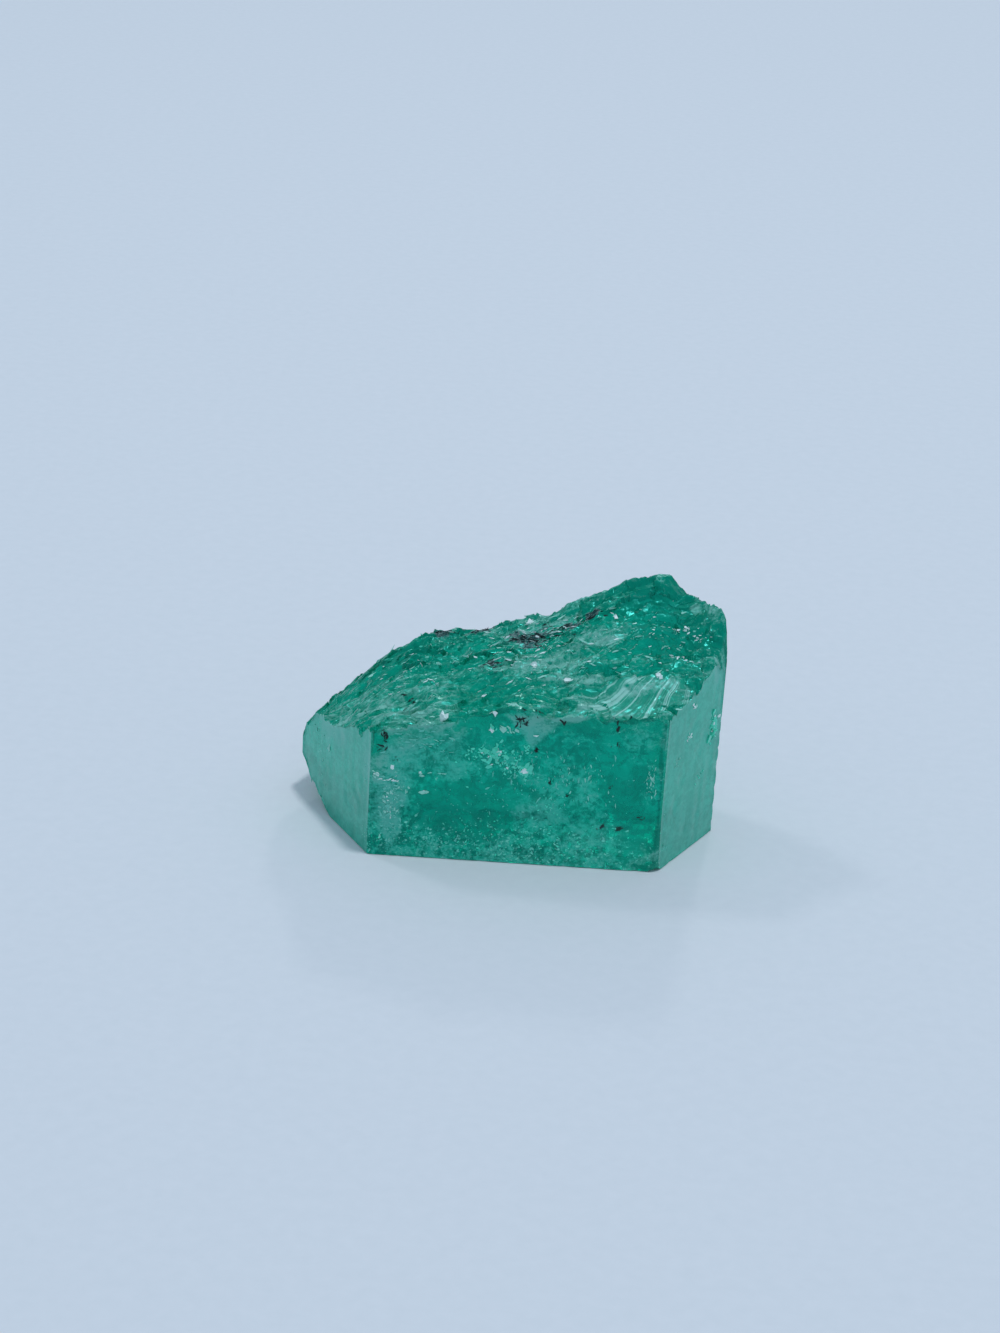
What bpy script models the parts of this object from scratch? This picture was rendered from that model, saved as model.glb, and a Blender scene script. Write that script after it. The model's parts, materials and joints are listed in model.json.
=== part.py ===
"""A raw emerald crystal: one six-sided beryl prism, broken off rough across the top.

The c axis of the crystal stands along Z, and the crystal rests on its flat basal face. The prism is
narrow, with a wide face at the front (-Y) and two short faces beside it. Its top is a hackly fracture
that climbs from the front left to a ridge at the back right, and the foot of the left rear corner has
chipped away. Lengths are in metres, Z is up, and the origin is the centre of the base of the whole box.
"""

import math
import random

import bmesh
import bpy
from mathutils import Vector, noise

MM = 0.001

# The prism seen from above. Its first corner is the plan's zero, where the front and left faces meet.
FRONT_FACE = 9.8 * MM
RIGHT_FACE = 4.0 * MM
LEFT_FACE = 5.43 * MM
DEPTH = 6.4 * MM
TURN = math.radians(60)
PRISM_HEIGHT = 10.0 * MM
PRISM_FOOT = -1.0 * MM

# The fracture across the top is a height field: its mesh runs in rows along the hackle, which heads
# slightly to the rear, and reaches past the prism all round.
HEADING = math.radians(8)
POINT_GAP = 0.24 * MM
ROW_GAP = 0.15 * MM
JITTER = 0.28
ROW_JITTER = 0.11
OVERHANG = 0.6 * MM
SEED = 7

# Height of the fracture where it meets the front and side faces, against x, in mm.
RIM = [
    (-2.72, 1.85), (-2.62, 2.45), (-2.45, 2.90), (-2.20, 3.28), (-1.69, 3.40), (-1.15, 3.72),
    (-0.50, 4.20), (0.00, 4.42), (0.90, 4.76), (2.20, 5.05), (3.50, 5.35), (4.50, 5.60),
    (6.20, 5.52), (8.80, 5.60), (9.80, 5.58), (10.50, 5.88), (11.17, 6.25), (11.46, 6.28), (11.80, 5.95),
]
# The ridge behind it: x, how far back it runs, and its height, in mm.
RIDGE = [
    (-2.72, 4.85, 1.75), (-2.20, 5.00, 2.70), (-1.60, 5.15, 3.32), (-1.10, 5.25, 3.78),
    (-0.15, 5.30, 4.76), (0.50, 5.30, 5.24), (1.00, 5.30, 5.62), (1.60, 5.30, 5.97),
    (2.90, 5.25, 6.16), (3.60, 5.20, 6.40), (4.65, 5.20, 6.70), (5.30, 5.20, 6.96),
    (6.00, 5.25, 7.28), (7.30, 5.30, 7.90), (8.00, 5.30, 8.14), (8.60, 5.30, 8.30),
    (9.20, 5.30, 8.36), (9.86, 5.30, 8.18), (10.30, 5.15, 8.08), (10.80, 4.75, 8.04),
    (11.20, 4.20, 8.04), (11.55, 3.80, 7.98), (11.80, 3.50, 7.60),
]
# How far the fracture has dropped again at the back face, against x, in mm.
BACK_DROP = [(-2.72, 0.30), (-1.60, 0.55), (1.00, 1.35), (5.00, 1.50), (8.00, 1.90), (9.60, 1.30), (11.80, 0.50)]

# How the fracture curves up to the ridge and down behind it, and the least run, in mm, of either slope.
CLIMB_POWER = 1.12
FALL_POWER = 1.4
NARROWEST = 0.4

# Hackle: uneven ledges that fade in and out, splinter-like waves stretched along the rows, and facets.
LEDGE_ROWS = (3, 4, 6, 4, 3, 7, 4, 5, 3, 6)
LEDGE_RISE = 0.20 * MM
LEDGE_LEAST = 0.25
LEDGE_SPREAD = 1.6
LEDGE_FADE = 1.7 * MM
LEDGE_SQUEEZE = 0.15
WANDER = 0.75 * MM
WANDER_SCALE = 2.6 * MM
SPLINTER_RISE = 0.16 * MM
SPLINTER_LEVEL = 0.35
SPLINTER_LENGTH = 1.5 * MM
SPLINTER_WIDTH = 0.42 * MM
GRAIN_RISE = 0.035 * MM
CELL_LENGTH = 1.30 * MM
CELL_WIDTH = 0.62 * MM
CELL_TILT = 0.30

# A shell-like scar scooped out just behind the right half of the front rim.
SHELL_AT = (8.45 * MM, 0.72 * MM)
SHELL_REACH = (1.55 * MM, 0.78 * MM)
SHELL_DEPTH = 0.42 * MM
SHELL_EDGE = 1 / 3
SHELL_CALM = 0.85

# Hollows knocked into the fracture: x, y, radius and depth, in mm. A negative depth is a knob.
PITS = [
    (0.9, 1.5, 0.85, 0.30), (3.9, 0.6, 0.85, 0.30), (6.2, 1.2, 0.75, 0.20), (2.6, 3.6, 0.95, 0.28),
    (7.3, 3.3, 0.80, 0.26), (10.3, 3.4, 0.70, 0.30), (5.3, 4.1, 0.60, 0.18), (-1.0, 3.4, 0.80, 0.22),
    (9.20, 5.25, 0.85, -0.20), (8.5, 5.1, 0.6, -0.15), (11.2, 2.7, 0.5, -0.2), (1.2, 5.2, 0.6, -0.10),
]

# The chip out of the left rear foot rises from a line across the base and steepens outwards.
CHIP_START = (-1.30 * MM, 2.25 * MM)
CHIP_HEADING = Vector((-0.857, 0.516))
CHIP_RISE = 0.30
CHIP_POWER = 1.75
CHIP_RIPPLE = 0.035 * MM
CHIP_WAVE = 0.62 * MM
CHIP_WAVE_START = 0.6

# Worn corners: a flake off the front right foot, and the width of the wear along the upright edges.
FOOT_FLAKE = 0.26 * MM
EDGE_WEAR = 0.05 * MM

# Shell-like nicks out of the rear edges: the middle of the egg that fits each one, and its reach, in mm.
NICKS = [
    ((10.78, 6.78, 2.5), (0.95, 0.95, 1.35)),
    ((4.1, 6.98, -0.52), (1.25, 0.90, 0.80)),
    ((1.2, 7.02, 4.95), (1.60, 0.85, 0.95)),
]

EMERALD = (0.012, 0.240, 0.165, 1.0)


def clear_scene():
    for obj in list(bpy.data.objects):
        bpy.data.objects.remove(obj)


def smoothstep(t):
    t = min(max(t, 0.0), 1.0)
    return t * t * (3 - 2 * t)


def profile(points, x, column=1):
    """The value of a profile at x: straight between its points, and level beyond its ends."""
    if x <= points[0][0]:
        return points[0][column]
    for left, right in zip(points, points[1:]):
        if x <= right[0]:
            share = (x - left[0]) / (right[0] - left[0])
            return left[column] + (right[column] - left[column]) * share
    return points[-1][column]


def plan_corners():
    """The prism's outline from above, counter-clockwise from the front left corner."""
    cos, sin = math.cos(TURN), math.sin(TURN)
    right = Vector((FRONT_FACE + RIGHT_FACE * cos, RIGHT_FACE * sin))
    left = Vector((-LEFT_FACE * cos, LEFT_FACE * sin))
    back_right = (DEPTH - right.y) / sin
    back_left = (DEPTH - left.y) / sin
    return [
        Vector((0, 0)),
        Vector((FRONT_FACE, 0)),
        right,
        Vector((right.x - back_right * cos, DEPTH)),
        Vector((left.x + back_left * cos, DEPTH)),
        left,
    ]


def rim_depth(x):
    """How far back the front outline of the prism lies at x."""
    slope = math.tan(TURN)
    return max(0.0, -x * slope, (x - FRONT_FACE) * slope)


def form_height(x, y):
    """The fracture's broad form: up from the rim to the ridge, and down again behind it."""
    at = x / MM
    rim, crest, drop = profile(RIM, at), profile(RIDGE, at, 2), profile(BACK_DROP, at)
    front = rim_depth(x) / MM
    ridge = max(profile(RIDGE, at), front + NARROWEST)
    deep = y / MM
    if deep <= ridge:
        climb = max(deep - front, 0.0) / (ridge - front)
        return (rim + (crest - rim) * climb ** CLIMB_POWER) * MM
    fall = (deep - ridge) / max(DEPTH / MM - ridge, NARROWEST)
    return (crest - drop * fall ** FALL_POWER) * MM


def ledge_of(row):
    """The ledge that a row belongs to, the row's place in it, and how many rows it has."""
    turn, step = divmod(row, sum(LEDGE_ROWS))
    for number, rows in enumerate(LEDGE_ROWS):
        if step < rows:
            return turn * len(LEDGE_ROWS) + number, step, rows
        step -= rows


def ledge_height(x, row):
    """Ledges: each rises at once between two rows, then falls away evenly to the foot of the next."""
    ledge, step, rows = ledge_of(row)
    share = -0.5 if step == 0 else 0.5 - (step - 1) / (rows - 1)
    strength = LEDGE_LEAST + LEDGE_SPREAD * noise.noise(Vector((ledge * 3.1, x / LEDGE_FADE, 1.7)))
    return LEDGE_RISE * strength * share


def splinter_height(x, y):
    """Waves with sharp crests, drawn out along the hackle."""
    along = x * math.cos(HEADING) + y * math.sin(HEADING)
    across = -x * math.sin(HEADING) + y * math.cos(HEADING)
    total = 0.0
    for octave in (1, 2):
        place = Vector((along / SPLINTER_LENGTH, across / SPLINTER_WIDTH, 0.5)) * octave
        total += (SPLINTER_LEVEL - abs(noise.noise(place))) * SPLINTER_RISE / octave
    return total


def cell_height(x, y):
    """Broken cells stretched along the hackle, each a flat facet that leans its own way."""
    along = x * math.cos(HEADING) + y * math.sin(HEADING)
    across = -x * math.sin(HEADING) + y * math.cos(HEADING)
    place = Vector((along / CELL_LENGTH, across / CELL_WIDTH, 0.5))
    middle = noise.voronoi(place)[1][0]
    lean = noise.noise_vector(middle * 7.3)
    offset = place - middle
    return CELL_TILT * (offset.x * lean.x * CELL_LENGTH + offset.y * lean.y * CELL_WIDTH)


def shell_height(x, y):
    """The scar scooped out behind the front rim, and how much it clears the hackle away."""
    reach = math.hypot((x - SHELL_AT[0]) / SHELL_REACH[0], (y - SHELL_AT[1]) / SHELL_REACH[1])
    if reach >= 1:
        return 0.0, 0.0
    return -SHELL_DEPTH * (1 - reach * reach), smoothstep((1 - reach) / SHELL_EDGE)


def pit_height(x, y):
    total = 0.0
    for pit_x, pit_y, radius, depth in PITS:
        reach = math.hypot(x - pit_x * MM, y - pit_y * MM) / (radius * MM)
        total -= depth * MM * smoothstep(1 - reach)
    return total


def top_height(x, y, row, grain):
    """The whole fracture surface over one point of the plan."""
    shell, calm = shell_height(x, y)
    hackle = ledge_height(x, row) + splinter_height(x, y) + cell_height(x, y) + GRAIN_RISE * grain
    return form_height(x, y) + hackle * (1 - SHELL_CALM * calm) + shell + pit_height(x, y)


def chip_height(x, y, row, grain):
    """The underside: below the base until the chip starts, then rising with shell-like ripples."""
    out = (Vector((x, y)) - Vector(CHIP_START)).dot(CHIP_HEADING)
    if out <= 0:
        return max(PRISM_FOOT, out)
    waves = CHIP_RIPPLE * math.sin(2 * math.pi * out / CHIP_WAVE) + GRAIN_RISE * grain
    return CHIP_RISE * (out / MM) ** CHIP_POWER * MM + waves * smoothstep(out / MM - CHIP_WAVE_START)


def mesh_object(name, bm):
    """Makes a mesh object from a bmesh, with every face pointing outwards."""
    bmesh.ops.recalc_face_normals(bm, faces=bm.faces)
    mesh = bpy.data.meshes.new(name)
    bm.to_mesh(mesh)
    bm.free()
    obj = bpy.data.objects.new(name, mesh)
    bpy.context.scene.collection.objects.link(obj)
    return obj


def make_prism(name):
    """The six-sided prism before it broke, from below its base to above its top, with worn edges."""
    bm = bmesh.new()
    base = bm.faces.new([bm.verts.new((p.x, p.y, 0.0)) for p in plan_corners()])
    raised = bmesh.ops.extrude_face_region(bm, geom=[base])["geom"]
    lifted = [v for v in raised if isinstance(v, bmesh.types.BMVert)]
    bmesh.ops.translate(bm, verts=lifted, vec=(0, 0, PRISM_HEIGHT))
    upright = [e for e in bm.edges if abs(e.verts[0].co.z - e.verts[1].co.z) > PRISM_HEIGHT / 2]
    bmesh.ops.bevel(bm, geom=upright, offset=EDGE_WEAR, segments=1, affect="EDGES")
    return mesh_object(name, bm)


def row_shift(row):
    """Rows on either side of a ledge's edge are drawn together, so that the edge is steep."""
    step = ledge_of(row)[1]
    return {0: LEDGE_SQUEEZE, 1: -LEDGE_SQUEEZE}.get(step, 0.0) * ROW_GAP


def field_rows():
    """Points of a height field in rows along the hackle, wide enough to cover the plan."""
    corners = plan_corners()
    middle = Vector((sum(p.x for p in corners), sum(p.y for p in corners))) / len(corners)
    along = Vector((math.cos(HEADING), math.sin(HEADING)))
    across = Vector((-along.y, along.x))
    reach = OVERHANG + WANDER
    half_length = max(abs((p - middle).dot(along)) for p in corners) + reach
    half_width = max(abs((p - middle).dot(across)) for p in corners) + reach
    columns, rows = round(half_length / POINT_GAP), round(half_width / ROW_GAP)
    jitter = random.Random(SEED)
    for row in range(-rows, rows + 1):
        points = []
        for column in range(-columns, columns + 1):
            u = (column + JITTER * jitter.uniform(-1, 1)) * POINT_GAP
            v = (row + ROW_JITTER * jitter.uniform(-1, 1)) * ROW_GAP + row_shift(row)
            spot = middle + along * u + across * v
            spot.y += WANDER * noise.noise(Vector((spot.x, spot.y, 0)) / WANDER_SCALE)
            points.append((spot.x, spot.y, jitter.uniform(-1, 1)))
        yield row, points


def height_cutter(name, height, far):
    """A closed block between a height field and the level far, wider than the prism all round."""
    bm = bmesh.new()
    field = [
        [bm.verts.new((x, y, height(x, y, row, grain))) for x, y, grain in points]
        for row, points in field_rows()
    ]
    for lower, upper in zip(field, field[1:]):
        for i in range(len(lower) - 1):
            bm.faces.new((lower[i], lower[i + 1], upper[i + 1], upper[i]))
    bmesh.ops.triangulate(bm, faces=bm.faces, quad_method="SHORT_EDGE")
    rim = [e for e in bm.edges if e.is_boundary]
    walls = bmesh.ops.extrude_edge_only(bm, edges=rim)["geom"]
    for vert in [v for v in walls if isinstance(v, bmesh.types.BMVert)]:
        vert.co.z = far
    bmesh.ops.contextual_create(bm, geom=[e for e in bm.edges if e.is_boundary])
    return mesh_object(name, bm)


def block_cutter(name, centre, size, turn):
    """A box cutter, turned by the angles in turn."""
    bm = bmesh.new()
    bmesh.ops.create_cube(bm, size=1.0)
    bmesh.ops.scale(bm, verts=bm.verts, vec=size)
    cutter = mesh_object(name, bm)
    cutter.location = centre
    cutter.rotation_euler = turn
    return cutter


def egg_cutter(name, centre, reach):
    """An egg-shaped cutter, which leaves a shell-like nick."""
    bm = bmesh.new()
    bmesh.ops.create_icosphere(bm, subdivisions=3, radius=1.0)
    bmesh.ops.scale(bm, verts=bm.verts, vec=reach)
    cutter = mesh_object(name, bm)
    cutter.location = centre
    return cutter


def cut(target, cutter):
    """Takes the cutter out of the target with an exact Boolean, and keeps the cutter out of the model."""
    cutter.hide_render = True
    cutter.display_type = "WIRE"
    modifier = target.modifiers.new("cut_" + cutter.name, "BOOLEAN")
    modifier.operation = "DIFFERENCE"
    modifier.solver = "EXACT"
    modifier.object = cutter


def centre_over_origin(crystal, objects):
    """Moves everything so that the origin is the middle of the foot of the finished crystal's box."""
    view = bpy.context.evaluated_depsgraph_get()
    box = [Vector(corner) for corner in crystal.evaluated_get(view).bound_box]
    xs, ys = [p.x for p in box], [p.y for p in box]
    for obj in objects:
        obj.location -= Vector(((min(xs) + max(xs)) / 2, (min(ys) + max(ys)) / 2, 0))


def emerald_material():
    material = bpy.data.materials.new("emerald")
    material.use_nodes = True
    shader = material.node_tree.nodes["Principled BSDF"]
    shader.inputs["Base Color"].default_value = EMERALD
    shader.inputs["Roughness"].default_value = 0.18
    shader.inputs["Metallic"].default_value = 0.0
    shader.inputs["IOR"].default_value = 1.577
    return material


def build_crystal():
    crystal = make_prism("emerald_crystal")
    crystal.data.materials.append(emerald_material())
    cutters = [
        height_cutter("top_fracture", top_height, PRISM_HEIGHT + 1 * MM),
        height_cutter("foot_chip", chip_height, 2 * PRISM_FOOT),
        block_cutter(
            "foot_flake",
            (FRONT_FACE, 0, 0),
            (4 * FOOT_FLAKE, FOOT_FLAKE, FOOT_FLAKE),
            (math.radians(45), 0, TURN / 2),
        ),
    ]
    for number, (centre, reach) in enumerate(NICKS, 1):
        cutters.append(egg_cutter(f"nick_{number}", Vector(centre) * MM, Vector(reach) * MM))
    for cutter in cutters:
        cut(crystal, cutter)
    centre_over_origin(crystal, [crystal, *cutters])
    return crystal


clear_scene()
noise.seed_set(SEED)
build_crystal()
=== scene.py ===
# %% [markdown]
# # A raw emerald crystal
# A rough emerald is one crystal of beryl: a six-sided prism that has snapped across. Its growth faces are
# smooth, its broken top is splintered, and its inside is full of healed cracks, cloudy veils and black
# specks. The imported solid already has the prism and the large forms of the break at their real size, so
# this lesson keeps that shape and adds what makes it look like a gemstone.

import json
import math
import random

import bmesh
import bpy
import numpy as np
from mathutils import Matrix, Vector, kdtree, noise

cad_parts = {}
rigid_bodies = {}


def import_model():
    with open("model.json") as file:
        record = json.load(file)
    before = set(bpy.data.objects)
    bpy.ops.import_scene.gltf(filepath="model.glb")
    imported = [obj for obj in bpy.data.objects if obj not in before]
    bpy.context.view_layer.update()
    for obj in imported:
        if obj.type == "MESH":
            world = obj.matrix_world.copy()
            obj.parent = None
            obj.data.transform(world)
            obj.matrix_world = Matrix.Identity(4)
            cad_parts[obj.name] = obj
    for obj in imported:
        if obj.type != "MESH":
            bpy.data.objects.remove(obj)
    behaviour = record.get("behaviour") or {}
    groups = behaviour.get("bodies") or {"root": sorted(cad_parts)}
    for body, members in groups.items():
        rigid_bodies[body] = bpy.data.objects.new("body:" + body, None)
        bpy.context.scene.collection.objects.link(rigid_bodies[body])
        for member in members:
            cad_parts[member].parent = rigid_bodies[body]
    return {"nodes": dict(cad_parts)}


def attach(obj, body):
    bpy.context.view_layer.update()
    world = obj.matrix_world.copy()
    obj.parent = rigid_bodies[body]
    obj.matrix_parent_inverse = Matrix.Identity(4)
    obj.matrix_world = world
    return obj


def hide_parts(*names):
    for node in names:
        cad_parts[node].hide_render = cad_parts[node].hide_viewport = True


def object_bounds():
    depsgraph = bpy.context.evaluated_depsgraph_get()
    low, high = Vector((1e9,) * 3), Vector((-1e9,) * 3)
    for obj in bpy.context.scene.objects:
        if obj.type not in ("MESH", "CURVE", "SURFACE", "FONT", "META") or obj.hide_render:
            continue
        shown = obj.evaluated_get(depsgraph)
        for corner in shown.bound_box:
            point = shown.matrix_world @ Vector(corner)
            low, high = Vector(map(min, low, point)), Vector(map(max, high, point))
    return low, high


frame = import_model()
solid_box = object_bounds()

MM = 0.001
SEED = 11
noise.seed_set(SEED)
low, high = solid_box
print("The solid measures, in mm:", [round(side / MM, 2) for side in high - low])

# %% [markdown]
# ## A skin that can be worked
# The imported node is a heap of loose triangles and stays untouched. The crystal that is seen is a merged
# copy of it. Each growth face is joined into one flat face, because long thin triangles would fold over
# once the edge of the break moves. The break is cut finer, so that it can carry small splinters.

# %% Copy the node, merge it and cut the break finer
MERGE_GAP = 0.001 * MM
PLANE_NEAR = 0.003 * MM
UPRIGHT = 0.002
LEAST_PLANE = 0.05 * MM**2
FLAT_BELOW = math.radians(3)
FINER = 4

node = frame["nodes"]["emerald_crystal"]
crystal = bpy.data.objects.new("crystal", node.data.copy())
bpy.context.scene.collection.objects.link(crystal)


def work_on(obj):
    """Makes obj the one selected, active object."""
    bpy.ops.object.select_all(action="DESELECT")
    obj.select_set(True)
    bpy.context.view_layer.objects.active = obj


def is_wall(face):
    """The growth faces of the prism stand upright."""
    return abs(face.normal.z) < UPRIGHT


def mark_sides(obj):
    """Marks the faces that lie in a growth face or in the base, even those too thin to have a true normal."""
    faces = obj.data.polygons
    spots = [vert.co for vert in obj.data.vertices]
    planes = {(0, 0, -1, 0): (Vector((0, 0, -1)), 0.0)}
    for face in faces:
        if is_wall(face) and face.area > LEAST_PLANE:
            away = face.center.dot(face.normal)
            planes[(*face.normal.to_tuple(2), round(away / PLANE_NEAR))] = (face.normal.copy(), away)
    side = obj.data.attributes.new(name="side", type="INT", domain="FACE")
    for face in faces:
        corners = [spots[index] for index in face.vertices]
        in_plane = any(
            max(abs(corner.dot(normal) - away) for corner in corners) < PLANE_NEAR
            for normal, away in planes.values()
        )
        side.data[face.index].value = int(in_plane or is_wall(face))


def is_break(face):
    """The break is all that mark_sides() left unmarked."""
    return not crystal.data.attributes["side"].data[face.index].value


def select_faces(obj, wanted):
    """Selects the faces that wanted() picks, and nothing else."""
    bpy.ops.object.mode_set(mode="OBJECT")
    obj.data.vertices.foreach_set("select", [False] * len(obj.data.vertices))
    obj.data.edges.foreach_set("select", [False] * len(obj.data.edges))
    obj.data.polygons.foreach_set("select", [wanted(face) for face in obj.data.polygons])
    bpy.ops.object.mode_set(mode="EDIT")
    bpy.ops.mesh.select_mode(type="FACE")


work_on(crystal)
bpy.ops.mesh.customdata_custom_splitnormals_clear()
bpy.ops.object.mode_set(mode="EDIT")
bpy.ops.mesh.select_all(action="SELECT")
bpy.ops.mesh.remove_doubles(threshold=MERGE_GAP)
bpy.ops.object.mode_set(mode="OBJECT")
mark_sides(crystal)
select_faces(crystal, lambda face: not is_break(face))
bpy.ops.mesh.dissolve_limited(angle_limit=FLAT_BELOW)
select_faces(crystal, is_break)
bpy.ops.mesh.subdivide(number_cuts=FINER)
bpy.ops.object.mode_set(mode="OBJECT")
break_points = {vert for face in crystal.data.polygons if is_break(face) for vert in face.vertices}
print("Faces:", len(crystal.data.polygons), "points on the break:", len(break_points))

# %% [markdown]
# ## Splinters on the break
# Beryl has hardly any cleavage. It breaks in shell-like curves with hackle: fine splinters and plates that
# run the way the crack ran. A displacement modifier can't follow that direction and fade from place to
# place, so each point is lifted by a short function instead. Points move only up or down. So the edge of
# the break slides along the growth faces and never leaves them.

# %% Describe the hackle
HACKLE_HEADING = math.radians(8)
SPLINTER = (1.30 * MM, 0.36 * MM)
SPLINTER_LIFT = 0.040 * MM
SPLINTER_LEVEL = 0.3
PLATES = [
    ((1.15 * MM, 0.5 * MM), 0.44, 0.06 * MM),
    ((0.4 * MM, 0.22 * MM), 0.55, 0.034 * MM),
]
PLATE_WARP = 0.35
PLATE_WARP_SCALE = 0.8
PLATE_LOT = 5.1
STEP_GAP = 0.55 * MM
STEP_LIFT = 0.120 * MM
STEP_WANDER = 1.6
STEP_WANDER_SIZE = (1.3 * MM, 0.8 * MM)
STEP_LENGTH = 1.1 * MM
STEP_LEVEL = 0.15
STEP_LOT = 1.7
# Each pattern reads its own slice of the noise, so that none repeats another.
SPLINTER_SLICE, WANDER_SLICE, FADE_SLICE, PLATE_SLICE = 3.0, 4.4, 6.6, 9.0


def soft_step(value):
    """0 below 0, 1 above 1, and a smooth rise between them."""
    value = min(max(value, 0.0), 1.0)
    return value * value * (3 - 2 * value)


def along_hackle(x, y):
    """A place's distance along and across the hackle."""
    cos, sin = math.cos(HACKLE_HEADING), math.sin(HACKLE_HEADING)
    return x * cos + y * sin, y * cos - x * sin


def splinters(along, across):
    """Sharp ridges with valleys between them, in two sizes."""
    total = 0.0
    for octave in (1, 2):
        spot = Vector((along / SPLINTER[0], across / SPLINTER[1], SPLINTER_SLICE + octave)) * octave
        total += (SPLINTER_LEVEL - abs(noise.noise(spot))) / octave
    return total * SPLINTER_LIFT


def plates(along, across, size, tilt, offset):
    """Broken plates: each is flat, leans its own way and stands a little higher or lower than the next."""
    spot = Vector((along / size[0], across / size[1], PLATE_SLICE))
    spot += PLATE_WARP * noise.noise_vector(spot * PLATE_WARP_SCALE)
    middle = noise.voronoi(spot)[1][0]
    lean = noise.noise_vector(middle * PLATE_LOT)
    slope = (spot.x - middle.x) * lean.x * size[0] + (spot.y - middle.y) * lean.y * size[1]
    return tilt * slope + offset * lean.z


def steps(along, across):
    """Fine ledges that wander and fade."""
    length, width = STEP_WANDER_SIZE
    wander = noise.noise(Vector((along / length, across / width, WANDER_SLICE)))
    turns = across / STEP_GAP + STEP_WANDER * wander
    row = math.floor(turns)
    fade = max(0.0, noise.noise(Vector((along / STEP_LENGTH, row * STEP_LOT, FADE_SLICE))) + STEP_LEVEL)
    return STEP_LIFT * fade * (0.5 - (turns - row))


print("Hackle heading, in degrees:", round(math.degrees(HACKLE_HEADING)), "sizes of plate:", len(PLATES))

# %% [markdown]
# ## The fan
# Behind the right half of the front edge the crack left a shell-like scar, where the stone is calm and only
# fine ribs spread like a fan from the place where that crack began. The same middle and source shape the
# ribs here and colour them later.

# %% Describe the fan and lift every point of the break
FAN_MIDDLE = Vector((4.20, -2.15))
FAN_REACH = Vector((2.20, 0.85))
FAN_TURN = math.radians(14)
FAN_CRISPNESS = 1.6
FAN_SOURCE = Vector((6.1, -0.2))
RIBS_PER_RADIAN = 13
RIB_LIFT = 0.035 * MM
RIB_WANDER = 0.05
RIB_WANDER_SIZE = 0.8 * MM
HACKLE_LEFT_IN_FAN = 0.25
SHOULDER_MIDDLE = Vector((5.1, 2.1))
SHOULDER_REACH = 0.75
SHOULDER_LIFT = 0.24 * MM
SMOOTHING = 3
SMOOTH_SHARE = 0.5


def fan_share(x, y):
    """1 in the middle of the fan and 0 outside it."""
    offset = Matrix.Rotation(-FAN_TURN, 2) @ (Vector((x, y)) / MM - FAN_MIDDLE)
    return soft_step(FAN_CRISPNESS * (1 - math.hypot(offset.x / FAN_REACH.x, offset.y / FAN_REACH.y)))


def ribs(x, y):
    """The ribs spread evenly by angle, and wander a little."""
    away = Vector((x, y)) / MM - FAN_SOURCE
    wander = RIB_WANDER * noise.noise(Vector((x, y, 0)) / RIB_WANDER_SIZE)
    turns = RIBS_PER_RADIAN * (math.atan2(away.y, away.x) + wander)
    return RIB_LIFT * abs(2 * (turns - math.floor(turns)) - 1)


def shoulder(x, y):
    """The peak has a round shoulder on its right."""
    return SHOULDER_LIFT * soft_step(1 - (Vector((x, y)) / MM - SHOULDER_MIDDLE).length / SHOULDER_REACH)


def lift(x, y):
    """How far a place on the break moves up or down."""
    fan = fan_share(x, y)
    along, across = along_hackle(x, y)
    hackle = splinters(along, across) + steps(along, across)
    hackle += sum(plates(along, across, *kind) for kind in PLATES)
    return hackle * (1 - (1 - HACKLE_LEFT_IN_FAN) * fan) + ribs(x, y) * fan + shoulder(x, y)


select_faces(crystal, is_break)
bpy.ops.mesh.vertices_smooth(factor=SMOOTH_SHARE, repeat=SMOOTHING, xaxis=False, yaxis=False, zaxis=True)
bpy.ops.object.mode_set(mode="OBJECT")
lifted = 0.0
for index in break_points:
    point = crystal.data.vertices[index].co
    if point.z < MERGE_GAP:
        continue
    rise = min(lift(point.x, point.y), high.z - point.z)
    point.z = max(point.z + rise, 0.0)
    lifted = max(lifted, abs(rise))
crystal.data.update()
print("The largest lift, in mm:", round(lifted / MM, 3))

# %% [markdown]
# ## Growth lines and nicks
# The growth faces are flat to the eye but not to the light: fine lines run up them, and their edges are
# nicked. A grid of cuts gives each face enough points, and then each point sinks a little into the stone.
# Points of an edge move only where there is a nick, so the edges stay straight and sharp. All this is done on
# the growth faces, the base and the first row of the break alone, which are cut off and joined back later.
# Cutting is slow in a large mesh.

# %% Take the growth faces off and cut them into a grid
GRID_GAP = 0.11 * MM
CUT_GAP = 0.0001 * MM
PLANE_GAP = 0.2 * MM
LEAST_WALL = 0.5 * MM**2

select_faces(crystal, lambda face: not is_break(face))
bpy.ops.mesh.select_more()
bpy.ops.mesh.separate(type="SELECTED")
bpy.ops.object.mode_set(mode="OBJECT")
sides = next(obj for obj in bpy.context.selected_objects if obj is not crystal)

skin = bmesh.new()
skin.from_mesh(sides.data)
skin.normal_update()
wall_layer = skin.faces.layers.int.new("wall")
planes = {}
for face in skin.faces:
    if is_wall(face):
        heading = round(math.degrees(math.atan2(face.normal.y, face.normal.x)))
        away = round(face.calc_center_median().dot(face.normal) / PLANE_GAP)
        planes.setdefault((heading, away), []).append(face)
wide_planes = [faces for faces in planes.values() if sum(face.calc_area() for face in faces) > LEAST_WALL]
wall_normals = {}
for number, faces in enumerate(wide_planes, 1):
    wall_normals[number] = faces[0].normal.copy()
    for face in faces:
        face[wall_layer] = number


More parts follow.
